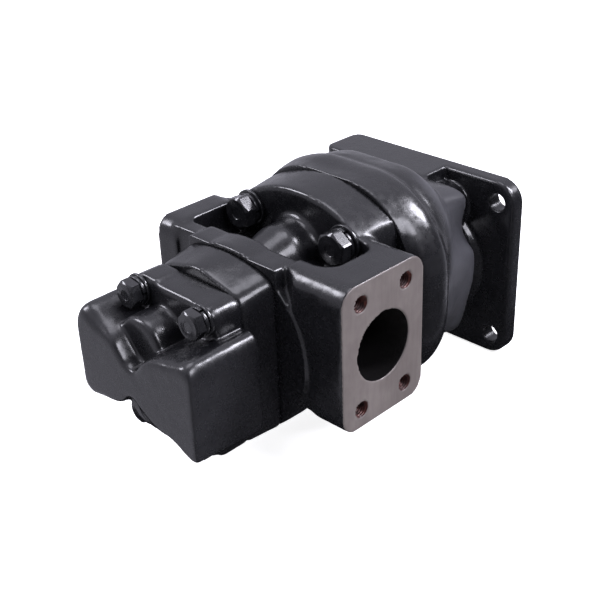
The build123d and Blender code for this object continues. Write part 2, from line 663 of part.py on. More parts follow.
# ---------------------------------------------------------------- drive shaft with the front drive gear
with BuildPart() as drive_shaft:
    with BuildSketch(yz(F_GEAR_X0)):
        with BuildLine():
            Polyline(*gear_outline(FM, FZ, F_PA, 0.22, 0), close=True)
        make_face()
    extrude(amount=F_GEAR_X1 - F_GEAR_X0)
    with BuildSketch(yz(-135.5)):
        Circle(FJ_R)
    extrude(amount=135.5 + 14)
    with BuildSketch(yz(13)):
        Circle(SHAFT_R)
    extrude(amount=SHAFT_END - 13)
    chamfer(drive_shaft.faces().sort_by(Axis.X)[-1].edges(), 1.5)
    with BuildSketch(yz(-168)):
        with BuildLine():
            Polyline(*spline_outline(10.0, 8.4, 4.0), close=True)
        make_face()
    extrude(amount=33)
    # keyway with round ends
    with BuildSketch(Plane.XY.offset(11.9)):
        with Locations((34, 0)):
            SlotOverall(37.94, 7.94)
    extrude(amount=10, mode=Mode.SUBTRACT)
    # centre drilling in the shaft end
    with BuildSketch(yz(SHAFT_END)):
        Circle(4.2)
    extrude(amount=-20, mode=Mode.SUBTRACT)
drive_shaft.part.label = "drive_shaft"
export_step(drive_shaft.part, "parts/drive_shaft.step")

with BuildPart() as shaft_key:
    with BuildSketch(Plane.XY.offset(11.9)):
        with Locations((34, 0)):
            SlotOverall(37.9, 7.9)
    extrude(amount=7.7)
    chamfer(shaft_key.faces().sort_by(Axis.Z)[-1].edges(), 0.4)
shaft_key.part.label = "shaft_key"
export_step(shaft_key.part, "parts/shaft_key.step")

with BuildPart() as front_driven_gear:
    with BuildSketch(yz(F_GEAR_X0)):
        with BuildLine():
            Polyline(*[(u, v + FC) for u, v in gear_outline(FM, FZ, F_PA, 0.22, 15)], close=True)
        make_face()
    extrude(amount=F_GEAR_X1 - F_GEAR_X0)
    with BuildSketch(yz(-135.0)):
        with Locations((0, FC)):
            Circle(FJ_R)
    extrude(amount=52)
    chamfer(front_driven_gear.faces().sort_by(Axis.X)[-1].edges(), 1.0)
    chamfer(front_driven_gear.faces().sort_by(Axis.X)[0].edges(), 1.0)
front_driven_gear.part.label = "front_driven_gear"
export_step(front_driven_gear.part, "parts/front_driven_gear.step")

with BuildPart() as splined_coupling:
    with BuildSketch(yz(-208)):
        Circle(15.5)
    extrude(amount=64)
    with BuildSketch(yz(-209)):
        with BuildLine():
            Polyline(*spline_outline(10.06, 8.46, 4.12), close=True)
        make_face()
    extrude(amount=66, mode=Mode.SUBTRACT)
splined_coupling.part.label = "splined_coupling"
export_step(splined_coupling.part, "parts/splined_coupling.step")

with BuildPart() as rear_drive_gear:
    with BuildSketch(yz(R_GEAR_X0)):
        with BuildLine():
            Polyline(*gear_outline(RM, RZ, R_PA, 0.18, 0), close=True)
        make_face()
    extrude(amount=R_GEAR_X1 - R_GEAR_X0)
    with BuildSketch(yz(-276.5)):
        Circle(RJ_R)
    extrude(amount=62.3)
    with BuildSketch(yz(-214.5)):
        with BuildLine():
            Polyline(*spline_outline(10.0, 8.4, 4.0), close=True)
        make_face()
    extrude(amount=34.5)
rear_drive_gear.part.label = "rear_drive_gear"
export_step(rear_drive_gear.part, "parts/rear_drive_gear.step")

with BuildPart() as rear_driven_gear:
    with BuildSketch(yz(R_GEAR_X0)):
        with BuildLine():
            Polyline(*[(u, v + RC) for u, v in gear_outline(RM, RZ, R_PA, 0.18, 0)], close=True)
        make_face()
    extrude(amount=R_GEAR_X1 - R_GEAR_X0)
    with BuildSketch(yz(-276.5)):
        with Locations((0, RC)):
            Circle(RJ_R)
    extrude(amount=61.5)
rear_driven_gear.part.label = "rear_driven_gear"
export_step(rear_driven_gear.part, "parts/rear_driven_gear.step")

# ---------------------------------------------------------------- bearing blocks, bushes, pressure plates
with BuildPart() as front_bearing_block:
    with BuildSketch(yz(-97.0)):
        front_pair(F_CHAMBER_R - 0.05)
    extrude(amount=14.9)
    with BuildSketch(yz(-98)):
        front_pair(20.5)
    extrude(amount=17, mode=Mode.SUBTRACT)
front_bearing_block.part.label = "front_bearing_block"
export_step(front_bearing_block.part, "parts/front_bearing_block.step")

with BuildPart() as back_bearing_block:
    with BuildSketch(yz(-135.9)):
        front_pair(F_CHAMBER_R - 0.05)
    extrude(amount=14.9)
    with BuildSketch(yz(-137)):
        front_pair(20.5)
    extrude(amount=17, mode=Mode.SUBTRACT)
back_bearing_block.part.label = "back_bearing_block"
export_step(back_bearing_block.part, "parts/back_bearing_block.step")

with BuildPart() as front_gear_bushes:
    for x0 in (-97.0, -135.9):
        with BuildSketch(yz(x0)):
            front_pair(20.49)
            with BuildSketch(mode=Mode.SUBTRACT):
                front_pair(FJ_R + 0.05)
        extrude(amount=14.8)
front_gear_bushes.part.label = "front_gear_bushes"
export_step(front_gear_bushes.part, "parts/front_gear_bushes.step")

with BuildPart() as rear_gear_bushes:
    for x0, l in ((X_R1, 18.2), (X_R2, -17.2)):
        with BuildSketch(yz(x0)):
            rear_pair(13.99)
            with BuildSketch(mode=Mode.SUBTRACT):
                rear_pair(RJ_R + 0.05)
        extrude(amount=l)
rear_gear_bushes.part.label = "rear_gear_bushes"
export_step(rear_gear_bushes.part, "parts/rear_gear_bushes.step")

with BuildPart() as rear_pressure_plates:
    for x0 in (X_R1 - 0.05, R_GEAR_X0 - 0.05):
        with BuildSketch(yz(x0)):
            rear_pair(R_CHAMBER_R - 0.05)
            with BuildSketch(mode=Mode.SUBTRACT):
                rear_pair(RJ_R + 0.3)
        extrude(amount=-5.4)
rear_pressure_plates.part.label = "rear_pressure_plates"
export_step(rear_pressure_plates.part, "parts/rear_pressure_plates.step")

with BuildPart() as shaft_bush:
    with BuildSketch(yz(-45)):
        Circle(BUSH_R - 0.01)
        Circle(FJ_R + 0.05, mode=Mode.SUBTRACT)
    extrude(amount=42)
shaft_bush.part.label = "shaft_bush"
export_step(shaft_bush.part, "parts/shaft_bush.step")

# ---------------------------------------------------------------- seals and retaining ring
with BuildPart() as shaft_seal:
    with BuildSketch(yz(1.0)):
        Circle(SEAL_R - 0.01)
        Circle(FJ_R + 0.05, mode=Mode.SUBTRACT)
    extrude(amount=8)
    with BuildSketch(yz(9.0)):
        Circle(23.4)
        Circle(19.6, mode=Mode.SUBTRACT)
    extrude(amount=-3, mode=Mode.SUBTRACT)
shaft_seal.part.label = "shaft_seal"
export_step(shaft_seal.part, "parts/shaft_seal.step")

with BuildPart() as retaining_ring:
    with BuildSketch(yz(9.25)):
        Circle(27.4)
        Circle(23.2, mode=Mode.SUBTRACT)
        with Locations((0, -26)):
            Rectangle(9, 12, mode=Mode.SUBTRACT)
        with Locations((-7.6, -22.6), (7.6, -22.6)):
            Circle(2.7)
            Circle(1.1, mode=Mode.SUBTRACT)
    extrude(amount=1.5)
retaining_ring.part.label = "retaining_ring"
export_step(retaining_ring.part, "parts/retaining_ring.step")

with BuildPart() as front_joint_seal:
    with BuildSketch(yz(X_JOINT - 0.02)):
        front_seal_outline(1.4)
        with BuildSketch(mode=Mode.SUBTRACT):
            front_seal_outline(-1.4)
    extrude(amount=-2.1)
front_joint_seal.part.label = "front_joint_seal"
export_step(front_joint_seal.part, "parts/front_joint_seal.step")

with BuildPart() as rear_joint_seals:
    for x0, l in ((X_R1 + 0.02, 1.8), (X_R2 - 0.02, -1.8)):
        with BuildSketch(yz(x0)):
            rear_seal_outline(1.1)
            with BuildSketch(mode=Mode.SUBTRACT):
                rear_seal_outline(-1.1)
        extrude(amount=l)
rear_joint_seals.part.label = "rear_joint_seals"
export_step(rear_joint_seals.part, "parts/rear_joint_seals.step")
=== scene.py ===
import bpy, bmesh, math
import numpy as np
from mathutils import Vector, Matrix, noise


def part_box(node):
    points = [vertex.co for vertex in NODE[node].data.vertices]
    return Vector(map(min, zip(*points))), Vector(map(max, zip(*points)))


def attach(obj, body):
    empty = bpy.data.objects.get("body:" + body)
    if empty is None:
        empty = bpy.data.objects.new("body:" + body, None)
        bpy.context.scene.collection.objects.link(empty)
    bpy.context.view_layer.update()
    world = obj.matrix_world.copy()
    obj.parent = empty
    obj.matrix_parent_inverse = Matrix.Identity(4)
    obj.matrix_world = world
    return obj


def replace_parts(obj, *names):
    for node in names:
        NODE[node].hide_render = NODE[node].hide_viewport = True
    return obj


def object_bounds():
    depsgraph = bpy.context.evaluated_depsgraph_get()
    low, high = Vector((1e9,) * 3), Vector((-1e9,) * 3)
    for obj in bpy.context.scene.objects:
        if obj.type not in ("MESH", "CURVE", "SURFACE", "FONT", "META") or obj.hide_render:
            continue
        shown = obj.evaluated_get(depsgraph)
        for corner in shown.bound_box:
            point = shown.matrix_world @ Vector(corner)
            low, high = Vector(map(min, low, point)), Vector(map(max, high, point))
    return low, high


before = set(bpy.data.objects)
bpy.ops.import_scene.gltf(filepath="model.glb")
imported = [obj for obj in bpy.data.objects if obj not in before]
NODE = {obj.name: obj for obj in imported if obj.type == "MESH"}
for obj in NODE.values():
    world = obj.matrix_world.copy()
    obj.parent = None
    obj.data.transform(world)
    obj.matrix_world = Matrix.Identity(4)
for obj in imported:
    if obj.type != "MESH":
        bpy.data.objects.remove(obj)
CAD_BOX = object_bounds()
MM = 0.001

# ------------------------------------------------------------------ camera
CAM_AXES = ((0.7008544, -0.7125015, -0.0338327), (-0.3640474, -0.3165022, -0.8759542), (0.6134106, 0.6262331, -0.4812063))
cam_data = bpy.data.cameras.new("camera")
cam = bpy.data.objects.new("camera", cam_data)
bpy.context.scene.collection.objects.link(cam)
right, down, view = (Vector(v).normalized() for v in CAM_AXES)
cam.matrix_world = Matrix.Translation(Vector((-0.65717, -0.49912, 0.40090))) @ Matrix((right, -down, -view)).transposed().to_4x4()
cam_data.sensor_width = 36.0
cam_data.lens = 1110.57 / 600 * 36.0
cam_data.clip_start = 0.01
bpy.context.scene.camera = cam
bpy.context.scene.view_settings.view_transform = "Standard"

# ------------------------------------------------------------------ layout, in mm, as the castings are machined
SUC_X, SUC_Z, SUC_Y, SUC_R = -192.0, 30.0, -99.5, 25.0
SUC_HOLES = [(SUC_X + sx * 21.45, SUC_Z + sz * 38.9) for sx in (-1, 1) for sz in (-1, 1)]
OUT_X, OUT_Z, OUT_Y, OUT_R = -199.0, 30.0, 79.5, 12.5
OUT_HOLES = [(OUT_X + sx * 13.1, OUT_Z + sz * 26.2) for sx in (-1, 1) for sz in (-1, 1)]
RO_X, RO_Z, RO_Y, RO_R = -290.0, 19.0, 57.5, 12.05
FLANGE_HOLES = [(sy * 57.25, sz * 57.25) for sy in (-1, 1) for sz in (-1, 1)]
FB = [(s * 45.4, z) for s in (-1, 1) for z in (77.4, -17.4)]
RB = [(s * 31.0, z) for s in (-1, 1) for z in (62.5, -27.5)]
X_JOINT, X_PLATE, X_R1, X_R2, X_SEAT = -136.0, -168.5, -232.8, -259.8, -283.0


# ------------------------------------------------------------------ mesh tools
def add_piece(name, me, material, body="casing", smooth=True):
    o = bpy.data.objects.new(name, me)
    bpy.context.scene.collection.objects.link(o)
    me.materials.clear()
    me.materials.append(material)
    me.polygons.foreach_set("use_smooth", [smooth] * len(me.polygons))
    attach(o, body)
    return o


def build(name, verts, faces):
    me = bpy.data.meshes.new(name)
    me.from_pydata([tuple(v) for v in verts], [], [tuple(f) for f in faces])
    bm = bmesh.new()
    bm.from_mesh(me)
    bmesh.ops.remove_doubles(bm, verts=bm.verts, dist=2e-7)
    bmesh.ops.recalc_face_normals(bm, faces=bm.faces)
    bm.to_mesh(me)
    bm.free()
    me.validate()
    return me


def split_edges(me, degrees):
    """Keep edges sharper than the angle crisp while the rest shades smooth."""
    me.set_sharp_from_angle(angle=math.radians(degrees))


def remeshed(node, voxel):
    src = NODE[node].data
    me = src.copy()
    bm = bmesh.new()
    bm.from_mesh(me)
    bmesh.ops.remove_doubles(bm, verts=bm.verts, dist=2e-6)
    bm.to_mesh(me)
    bm.free()
    o = bpy.data.objects.new("tmp_" + node, me)
    bpy.context.scene.collection.objects.link(o)
    m = o.modifiers.new("voxel", "REMESH")
    m.mode = "VOXEL"
    m.voxel_size = voxel * MM
    m.adaptivity = 0.0
    dg = bpy.context.evaluated_depsgraph_get()
    out = bpy.data.meshes.new_from_object(o.evaluated_get(dg))
    bpy.data.objects.remove(o)
    bpy.data.meshes.remove(me)
    return out


def coords(me):
    v = np.empty(len(me.vertices) * 3)
    me.vertices.foreach_get("co", v)
    e = np.empty(len(me.edges) * 2, np.int64)
    me.edges.foreach_get("vertices", e)
    return v.reshape(-1, 3) / MM, e.reshape(-1, 2)


def relax(v, e, w, times, lam=0.5):
    i = np.r_[e[:, 0], e[:, 1]]
    j = np.r_[e[:, 1], e[:, 0]]
    deg = np.maximum(np.bincount(i, minlength=len(v)), 1)
    for _ in range(times):
        s = np.stack([np.bincount(i, weights=v[j, k], minlength=len(v)) for k in range(3)], 1) / deg[:, None]
        v = v + (s - v) * (lam * w)[:, None]
    return v


def normals(me, v):
    me.vertices.foreach_set("co", (v * MM).ravel())
    me.update()
    n = np.empty(len(me.vertices) * 3)
    me.vertex_normals.foreach_get("vector", n)
    return n.reshape(-1, 3)


def ramp(d, a, b):
    t = np.clip((d - a) / (b - a), 0, 1)
    return t * t * (3 - 2 * t)


def lumps(v, size, seed):
    off = Vector((seed * 7.3, seed * 3.1, -seed * 5.7))
    return np.array([noise.noise(Vector(p) / size + off) for p in v])


def along(v, axis, centre):
    """Distance of every point from a line along one axis."""
    k = [a for a in range(3) if a != axis]
    return np.hypot(v[:, k[0]] - centre[0], v[:, k[1]] - centre[1])


def cast(node, voxel, times, keep, snaps, material, lump):
    """A casting: the machined faces and bores stay true, the as-cast skin is softened and slightly uneven."""
    me = remeshed(node, voxel)
    v, e = coords(me)
    w = np.ones(len(v))
    for f in keep:
        w = np.minimum(w, f(v))
    v = relax(v, e, w, times)
    n = normals(me, v)
    h = sum(amp * lumps(v, size, seed) for amp, size, seed in lump)
    v = v + n * (h * w)[:, None]
    for f in snaps:
        v = f(v)
    lo, hi = (np.array(c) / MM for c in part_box(node))
    v = np.clip(v, lo, hi)
    me.vertices.foreach_set("co", (v * MM).ravel())
    me.update()
    o = add_piece(node + "_casting", me, material)
    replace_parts(o, node)
    return o


def plane_keep(axis, value, reach):
    return lambda v: ramp(np.abs(v[:, axis] - value), 0.3, reach)


def bore_keep(axis, centre, r, lo, hi, reach=2.5):
    def f(v):
        d = np.abs(along(v, axis, centre) - r)
        gap = np.maximum(lo - v[:, axis], v[:, axis] - hi)
        return np.maximum(ramp(d, 0.5, reach), ramp(gap, 0.0, 1.5))
    return f


def disc_keep(axis, centre, r, lo, hi):
    def f(v):
        d = along(v, axis, centre) - r
        gap = np.maximum(lo - v[:, axis], v[:, axis] - hi)
        return np.maximum(ramp(d, 0.0, 2.5), ramp(gap, 0.0, 1.5))
    return f


def plane_snap(axis, value, tol=0.75):
    def f(v):
        m = np.abs(v[:, axis] - value) < tol
        v[m, axis] = value
        return v
    return f


def bore_snap(axis, centre, r, lo, hi, tol=0.8):
    k = None

    def f(v):
        ks = [a for a in range(3) if a != axis]
        d = along(v, axis, centre)
        m = (np.abs(d - r) < tol) & (v[:, axis] > lo) & (v[:, axis] < hi)
        for q, c in zip(ks, centre):
            v[m, q] = c + (v[m, q] - c) * (r / d[m])
        return v
    return f


# ------------------------------------------------------------------ turned, threaded and hexagonal pieces
def lathe(rings, centre, axis=0, seg=72, arc=(0.0, 360.0), drift=0.0):
    """Closed ring or disc from a profile of (along, radius) points; a part turn gets end caps."""
    full = arc[1] - arc[0] > 359.9
    steps = seg if full else seg + 1
    k = [a for a in range(3) if a != axis]
    verts, faces = [], []
    for i in range(steps):
        t = i / seg
        a = math.radians(arc[0] + (arc[1] - arc[0]) * t)
        for s, r in rings:
            p = [0.0, 0.0, 0.0]
            p[axis] = (s + drift * (t - 0.5)) * MM
            p[k[0]] = (centre[0] + r * math.cos(a)) * MM
            p[k[1]] = (centre[1] + r * math.sin(a)) * MM
            verts.append(p)
    m = len(rings)
    for i in range(seg):
        a, b = i * m, ((i + 1) % steps) * m
        for j in range(m):
            q = (j + 1) % m
            faces.append((a + j, b + j, b + q, a + q))
    if not full:
        faces.append(tuple(range(m)))
        faces.append(tuple(reversed(range((steps - 1) * m, steps * m))))
    return verts, faces


def merged(parts):
    verts, faces = [], []
    for v, f in parts:
        n = len(verts)
        verts += list(v)
        faces += [tuple(i + n for i in q) for q in f]
    return verts, faces


def ring_profile(s0, s1, r0, r1, b):
    """Rectangular section between two stations and radii, with its corners broken by b."""
    return [(s0, r0 + b), (s0, r1 - b), (s0 + b * .3, r1 - b * .3), (s0 + b, r1), (s1 - b, r1), (s1 - b * .3, r1 - b * .3), (s1, r1 - b),
            (s1, r0 + b), (s1 - b * .3, r0 + b * .3), (s1 - b, r0), (s0 + b, r0), (s0 + b * .3, r0 + b * .3)]


def hex_head(y, z, x0, height, circum, turn, shank_r, shank_end, dimple):
    """Bolt along X: head from x0 towards -X with a 30 degree top chamfer, shank towards +X."""
    seg = 96
    ap = circum * math.cos(math.pi / 6)
    flat_r = ap * 0.93
    rows = []

    def corner(a):
        u = (a - math.radians(turn)) % (math.pi / 3) - math.pi / 6
        return min(ap / math.cos(u), circum * 0.988)
    for kind in ("c", "d0", "d1", "d2", "d3", "f", "e", "e2", "s", "b2", "b1", "n", "t0", "t1"):
        row = []
        for i in range(seg):
            a = 2 * math.pi * i / seg
            R = corner(a)
            drop = max(0.0, (R - flat_r)) * math.tan(math.radians(30))
            top = x0 - height
            if kind == "c": r, x = 0.02, top + 0.22
            elif kind == "d0": r, x = dimple - 1.2, top + 0.22
            elif kind == "d1": r, x = dimple - 0.8, top - 0.12
            elif kind == "d2": r, x = dimple - 0.1, top - 0.12
            elif kind == "d3": r, x = dimple + 0.3, top
            elif kind == "f": r, x = flat_r, top
            elif kind == "e": r, x = R - 0.35, top + drop
            elif kind == "e2": r, x = R, top + drop + 0.35
            elif kind == "s": r, x = R, top + height * 0.55
            elif kind == "b2": r, x = R, x0 - 0.4
            elif kind == "b1": r, x = R - 0.4, x0
            elif kind == "n": r, x = shank_r, x0
            elif kind == "t0": r, x = shank_r, shank_end - 1.2
            else: r, x = shank_r - 1.2, shank_end
            row.append(((x) * MM, (y + r * math.cos(a)) * MM, (z + r * math.sin(a)) * MM))
        rows.append(row)
    verts = [p for row in rows for p in row]
    faces = []
    for k in range(len(rows) - 1):
        for i in range(seg):
            j = (i + 1) % seg
            faces.append((k * seg + i, k * seg + j, (k + 1) * seg + j, (k + 1) * seg + i))
    faces.append(tuple(range(seg)))
    faces.append(tuple(reversed(range((len(rows) - 1) * seg, len(rows) * seg))))
    return verts, faces


def thread_sleeve(axis, centre, start, end, r_major, pitch, depth):
    """Closed sleeve with a helical internal thread, start at the mouth."""
    seg, per = 40, 6
    sign = 1 if end > start else -1
    n = int(abs(end - start) / (pitch / per))
    k = [a for a in range(3) if a != axis]
    verts, faces = [], []
    for j in range(n + 1):
        for i in range(seg):
            a = 2 * math.pi * i / seg
            s = j * pitch / per
            ph = (s / pitch - i / seg) % 1.0
            crest = abs(ph - 0.5) * 2
            fade = min(1.0, s / pitch)
            r = r_major - 0.04 - depth * min(1.0, max(0.0, crest * 1.25 - 0.12)) * fade
            p = [0.0] * 3
            p[axis] = (start + sign * s) * MM
            p[k[0]] = (centre[0] + r * math.cos(a)) * MM
            p[k[1]] = (centre[1] + r * math.sin(a)) * MM
            verts.append(tuple(p))
    base = len(verts)
    for s in (start, start + sign * n * pitch / per):
        for i in range(seg):
            a = 2 * math.pi * i / seg
            p = [0.0] * 3
            p[axis] = s * MM
            p[k[0]] = (centre[0] + (r_major + 0.02) * math.cos(a)) * MM
            p[k[1]] = (centre[1] + (r_major + 0.02) * math.sin(a)) * MM
            verts.append(tuple(p))
    for j in range(n):
        for i in range(seg):
            q = (i + 1) % seg
            faces.append((j * seg + i, j * seg + q, (j + 1) * seg + q, (j + 1) * seg + i))
    for i in range(seg):
        q = (i + 1) % seg
        faces.append((i, q, base + q, base + i))
        faces.append((n * seg + i, n * seg + q, base + seg + q, base + seg + i))
        faces.append((base + i, base + q, base + seg + q, base + seg + i))
    return verts, faces


# ------------------------------------------------------------------ materials
class Nodes:
    def __init__(self, name):
        self.m = bpy.data.materials.new(name)
        self.m.use_nodes = True
        self.t = self.m.node_tree
        self.b = self.t.nodes["Principled BSDF"]
        self.pos = self.new("ShaderNodeTexCoord").outputs["Object"]

    def new(self, kind, **props):
        n = self.t.nodes.new(kind)
        for k, v in props.items():
            setattr(n, k, v)
        return n

    def link(self, a, b):
        self.t.links.new(a, b)

    def put(self, socket, value):
        if hasattr(value, "is_output"):
            self.link(value, socket)
        else:
            socket.default_value = value

    def math(self, op, a, b=0.0, c=0.0, clamp=False):
        n = self.new("ShaderNodeMath", operation=op, use_clamp=clamp)
        for s, v in zip(n.inputs, (a, b, c)):
            self.put(s, v)
        return n.outputs[0]

    def noise(self, scale, detail=3.0, rough=0.55, stretch=None, distort=0.0):
        n = self.new("ShaderNodeTexNoise")
        n.inputs["Scale"].default_value = scale
        n.inputs["Detail"].default_value = detail
        n.inputs["Roughness"].default_value = rough
        n.inputs["Distortion"].default_value = distort
        src = self.pos
        if stretch:
            m = self.new("ShaderNodeMapping")
            m.inputs["Scale"].default_value = stretch
            self.link(self.pos, m.inputs["Vector"])
            src = m.outputs[0]
        self.link(src, n.inputs["Vector"])
        return n.outputs["Fac"]

    def span(self, v, a, b, lo, hi):
        n = self.new("ShaderNodeMapRange", interpolation_type="SMOOTHSTEP")
        for s, x in zip(n.inputs, (v, a, b, lo, hi)):
            self.put(s, x)
        return n.outputs[0]

    def mix(self, f, a, b):
        n = self.new("ShaderNodeMix", data_type="RGBA")
        self.put(n.inputs[0], f)
        for s, v in ((n.inputs[6], a), (n.inputs[7], b)):
            if hasattr(v, "is_output"):
                self.link(v, s)
            else:
                s.default_value = (*v, 1.0)
        return n.outputs[2]

    def mixf(self, f, a, b):
        n = self.new("ShaderNodeMix", data_type="FLOAT")
        self.put(n.inputs[0], f)
        self.put(n.inputs[2], a)
        self.put(n.inputs[3], b)
        return n.outputs[0]

    def bump(self, layers):
        prev = None
        for h, dist, strength in layers:
            n = self.new("ShaderNodeBump")
            self.put(n.inputs["Strength"], strength)
            n.inputs["Distance"].default_value = dist * MM
            self.link(h, n.inputs["Height"])
            if prev is not None:
                self.link(prev, n.inputs["Normal"])
            prev = n.outputs[0]
        self.link(prev, self.b.inputs["Normal"])

    def xyz(self):
        n = self.new("ShaderNodeSeparateXYZ")
        self.link(self.pos, n.inputs[0])
        return [self.math("MULTIPLY", o, 1000.0) for o in n.outputs]

    def radius(self, a, b, ca, cb):
        x = self.math("SUBTRACT", a, ca)
        y = self.math("SUBTRACT", b, cb)
        return self.math("SQRT", self.math("ADD", self.math("MULTIPLY", x, x), self.math("MULTIPLY", y, y)))


def paint(name, grain=1.0, bare=None, painted_light=None):
    """Gloss black paint sprayed over cast iron. bare(nodes, x, y, z) gives two 0-1 masks: machined metal, and the
    darker bore within it.
    The light mask function (nodes, x, y, z) gives a 0-1 mask of painted light: lighter, rougher paint where light falls
    on one side."""
    k = Nodes(name)
    fine, mid, broad = k.noise(700.0, 3.0), k.noise(190.0, 3.0, 0.6), k.noise(34.0, 3.0)
    cloud = k.noise(13.0, 4.0, 0.6)
    base = k.mix(k.span(cloud, 0.3, 0.7, 0.0, 1.0), (0.0040, 0.0041, 0.0048), (0.0068, 0.0068, 0.0080))
    dust = k.span(k.noise(60.0, 6.0, 0.72), 0.62, 0.80, 0.0, 0.22)
    base = k.mix(dust, base, (0.022, 0.022, 0.024))
    rough = k.span(mid, 0.3, 0.7, 0.20, 0.29)
    rough = k.math("ADD", rough, k.math("MULTIPLY", k.span(cloud, 0.42, 0.75, 0.0, 1.0), 0.09))
    x, y, z = k.xyz()
    if painted_light is not None:
        # painted light: the mask lightens the base colour to stand in for light falling on that side
        lit_mask = painted_light(k, x, y, z)
        base = k.mix(lit_mask, base, (0.036, 0.036, 0.041))
        rough = k.mixf(lit_mask, rough, 0.40)
    if bare is not None:
        mask, inner = bare(k, x, y, z)
        swirl = k.noise(300.0, 3.0, 0.6, stretch=(1.0, 1.0, 0.16))
        stain = k.noise(36.0, 4.0, 0.6)
        steel = k.mix(k.span(stain, 0.35, 0.7, 0.0, 1.0), (0.118, 0.101, 0.095), (0.155, 0.135, 0.127))
        steel = k.mix(k.span(swirl, 0.42, 0.66, 0.0, 0.16), steel, (0.088, 0.074, 0.070))
        steel = k.mix(inner, steel, (0.042, 0.040, 0.040))
        base = k.mix(mask, base, steel)
        bright = k.mixf(inner, k.span(swirl, 0.3, 0.7, 0.44, 0.58), 0.27)
        rough = k.mixf(mask, rough, bright)
        k.link(k.math("MULTIPLY", mask, k.mixf(inner, 0.30, 0.85)), k.b.inputs["Metallic"])
        keep = k.math("SUBTRACT", 1.0, mask)
        strength = k.math("MULTIPLY", keep, 0.40)
        k.bump(((broad, 0.9 * grain, k.math("MULTIPLY", keep, 0.35)), (mid, 0.13 * grain, strength), (fine, 0.030 * grain, strength),
                (swirl, 0.008, k.math("MULTIPLY", k.math("SUBTRACT", mask, inner, clamp=True), 0.6))))
    else:
        k.bump(((broad, 0.9 * grain, 0.35), (mid, 0.13 * grain, 0.40), (fine, 0.030 * grain, 0.40)))
    k.link(base, k.b.inputs["Base Color"])
    k.link(rough, k.b.inputs["Roughness"])
    k.b.inputs["IOR"].default_value = 1.5
    k.b.inputs["Coat Weight"].default_value = 0.10
    k.b.inputs["Coat Roughness"].default_value = 0.10
    return k.m


def bare_middle(k, x, y, z):
    edge = k.math("MULTIPLY", k.math("SUBTRACT", k.noise(330.0, 4.0, 0.7), 0.5), 1.5)
    face = k.span(k.math("ADD", y, edge), SUC_Y + 0.75, SUC_Y + 0.35, 0.0, 1.0)
    bore = k.span(k.radius(x, z, SUC_X, SUC_Z), SUC_R + 0.9, SUC_R + 0.5, 0.0, 1.0)
    face_d = k.span(k.math("SUBTRACT", y, edge), OUT_Y - 0.75, OUT_Y - 0.35, 0.0, 1.0)
    bore_d = k.math("MULTIPLY", k.span(k.radius(x, z, OUT_X, OUT_Z), OUT_R + 0.9, OUT_R + 0.5, 0.0, 1.0), k.span(y, 28.0, 29.0, 0.0, 1.0))
    near = k.span(y, SUC_Y + 78.0, SUC_Y + 76.0, 0.0, 1.0)
    bores = k.math("MAXIMUM", k.math("MULTIPLY", bore, near), bore_d)
    lip = k.math("MULTIPLY", k.span(y, SUC_Y + 0.35, SUC_Y + 0.9, 0.0, 1.0), k.span(y, OUT_Y - 0.35, OUT_Y - 0.9, 0.0, 1.0))
    return k.math("MAXIMUM", k.math("MAXIMUM", face, face_d), bores), k.math("MULTIPLY", bores, lip)


def bare_front(k, x, y, z):
    edge = k.math("MULTIPLY", k.math("SUBTRACT", k.noise(300.0, 4.0, 0.7), 0.5), 1.2)
    return k.span(k.math("ADD", x, edge), -0.9, -0.3, 0.0, 1.0), k.math("MULTIPLY", k.span(k.radius(y, z, 0.0, 0.0), 24.0, 23.0, 0.0, 1.0), 0.6)


def bare_cover(k, x, y, z):
    edge = k.math("MULTIPLY", k.math("SUBTRACT", k.noise(330.0, 4.0, 0.7), 0.5), 1.2)
    ring = k.span(k.radius(x, z, RO_X, RO_Z), 18.6, 17.9, 0.0, 1.0)
    bore = k.span(k.radius(x, z, RO_X, RO_Z), RO_R + 0.6, RO_R + 0.2, 0.0, 0.8)
    return k.math("MULTIPLY", ring, k.span(k.math("SUBTRACT", y, edge), RO_Y - 19.5, RO_Y - 18.5, 0.0, 1.0)), k.math("MULTIPLY", ring, bore)


def painted_neck_light(k, x, y, z):
    """Painted light: the paint on the -Y side of the neck behind the mounting flange is made lighter, greyer and
    rougher, more so higher up, standing in for light falling on that side.
    """
    a = k.math("MULTIPLY", k.span(x, -96.0, -82.0, 0.0, 1.0), k.span(x, -17.0, -25.0, 0.0, 1.0))
    side = k.span(y, -28.0, -50.0, 0.0, 1.0)
    patch = k.span(k.noise(26.0, 4.0, 0.6), 0.30, 0.70, 0.62, 1.0)
    return k.math("MULTIPLY", k.math("MULTIPLY", a, side), k.math("MULTIPLY", patch, k.span(z, -62.0, -20.0, 0.35, 1.0)))


def painted_end_light(k, x, y, z):
    # Painted light: the -Y side face of the end block is made a little lighter and rougher in patches, standing in for
    # light falling on that face.
    side = k.math("MULTIPLY", k.span(y, -50.0, -56.5, 0.0, 0.22), k.span(x, -262.0, -312.0, 0.0, 1.0))
    return k.math("MULTIPLY", side, k.span(k.noise(30.0, 4.0, 0.6), 0.30, 0.70, 0.4, 1.0))


def metal(name, colour, alt, rough, scratch=(1.0, 0.12, 1.0), spots=0.0):
    k = Nodes(name)
    lines = k.noise(620.0, 3.0, 0.6, stretch=scratch)
    cloud = k.noise(70.0, 4.0, 0.6)
    base = k.mix(k.span(cloud, 0.35, 0.68, 0.0, 1.0), colour, alt)
    if spots:
        base = k.mix(k.span(k.noise(190.0, 5.0, 0.7), 0.52, 0.68, 0.0, spots), base, tuple(c * 0.35 for c in colour))
    k.link(base, k.b.inputs["Base Color"])
    k.b.inputs["Metallic"].default_value = 1.0
    k.link(k.span(lines, 0.3, 0.7, rough - 0.07, rough + 0.09), k.b.inputs["Roughness"])
    k.bump(((lines, 0.010, 0.6),))
    return k.m


